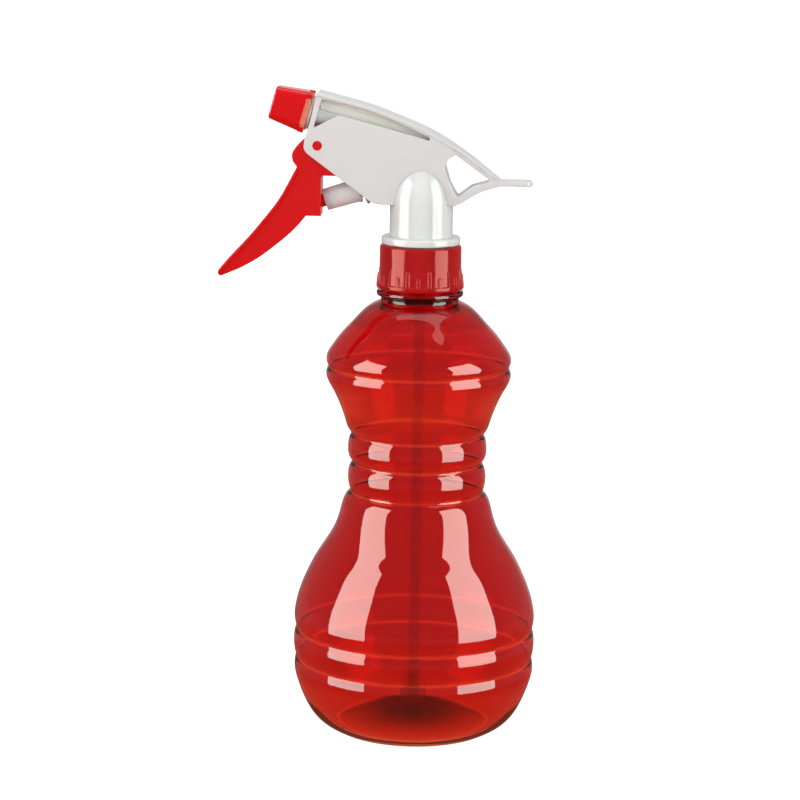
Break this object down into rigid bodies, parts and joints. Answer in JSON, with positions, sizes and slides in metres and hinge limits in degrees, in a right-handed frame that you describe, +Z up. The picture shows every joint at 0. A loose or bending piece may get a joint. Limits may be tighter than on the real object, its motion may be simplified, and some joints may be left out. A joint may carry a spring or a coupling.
{
  "type": "hand mister",
  "caption": "Hand mister: a clear gourd-shaped bottle with a screw-on trigger pump, swivelling head, adjustable nozzle and dip tube.",
  "frame": {"origin": "centre of the bottle's foot ring, on the table", "axes": "+Z up the bottle's axis, -X the way the nozzle points, Y across the trigger"},
  "size_m": [0.1232, 0.0932, 0.2473],
  "materials": {
    "clear_red_pet": "clear, glossy",
    "red_pp": "glossy",
    "white_pp": "satin",
    "natural_pe": "milky, satin",
    "foam_liner": "matt",
    "rubber_seal": "matt",
    "spring_steel": "drawn wire",
    "glass_ball": "polished",
    "steel_ball": "polished"
  },
  "bodies": {
    "bottle": {"bottle": "clear_red_pet"},
    "seat": {"neck_gasket": "foam_liner"},
    "closure": {"closure": "red_pp"},
    "head": {"pump_body": "white_pp", "shroud": "white_pp", "nozzle_spigot": "white_pp", "swirl_core": "natural_pe", "nozzle_seal": "rubber_seal", "tube_holder": "natural_pe", "dip_tube": "natural_pe", "tube_strainer": "natural_pe", "return_spring": "spring_steel", "discharge_spring": "spring_steel"},
    "trigger": {"trigger": "red_pp"},
    "piston": {"piston": "natural_pe", "piston_seal": "rubber_seal", "vent_seal": "rubber_seal"},
    "nozzle": {"nozzle_cap": "red_pp"},
    "inlet_valve": {"inlet_ball": "glass_ball"},
    "discharge_valve": {"discharge_ball": "steel_ball"}
  },
  "joints": [
    {"name": "head_lift", "type": "slide", "parent": "bottle", "child": "seat", "axis": [0, 0, 1], "range_m": [0, 0.18]},
    {"name": "closure_turn", "type": "hinge", "parent": "seat", "child": "closure", "pos_m": [0, 0, 0.18], "axis": [0, 0, 1], "continuous": true},
    {"name": "head_swivel", "type": "hinge", "parent": "seat", "child": "head", "pos_m": [0, 0, 0.187], "axis": [0, 0, 1], "continuous": true},
    {"name": "trigger_squeeze", "type": "hinge", "parent": "head", "child": "trigger", "pos_m": [-0.0392, 0, 0.2258], "axis": [0, -1, 0], "range_deg": [0, 20], "stiffness_Nm_per_rad": 0.3, "springref_deg": -11.46},
    {"name": "piston_stroke", "type": "slide", "parent": "head", "child": "piston", "axis": [0.9532, 0, 0.3024], "range_m": [0, 0.0076], "deforming": ["return_spring"]},
    {"name": "nozzle_turn", "type": "hinge", "parent": "head", "child": "nozzle", "pos_m": [-0.0428, 0, 0.23775], "axis": [-0.965, 0, 0.2622], "continuous": true},
    {"name": "inlet_valve_lift", "type": "slide", "parent": "head", "child": "inlet_valve", "axis": [0, 0, 1], "range_m": [0, 0.001]},
    {"name": "discharge_valve_lift", "type": "slide", "parent": "head", "child": "discharge_valve", "axis": [-0.965, 0, 0.2622], "range_m": [0, 0.0006], "stiffness_N_per_m": 20, "springref_m": -0.001, "deforming": ["discharge_spring"]}
  ],
  "couplings": [
    {"joint": "piston_stroke", "follows": "trigger_squeeze", "m_per_rad": 0.02117}
  ]
}
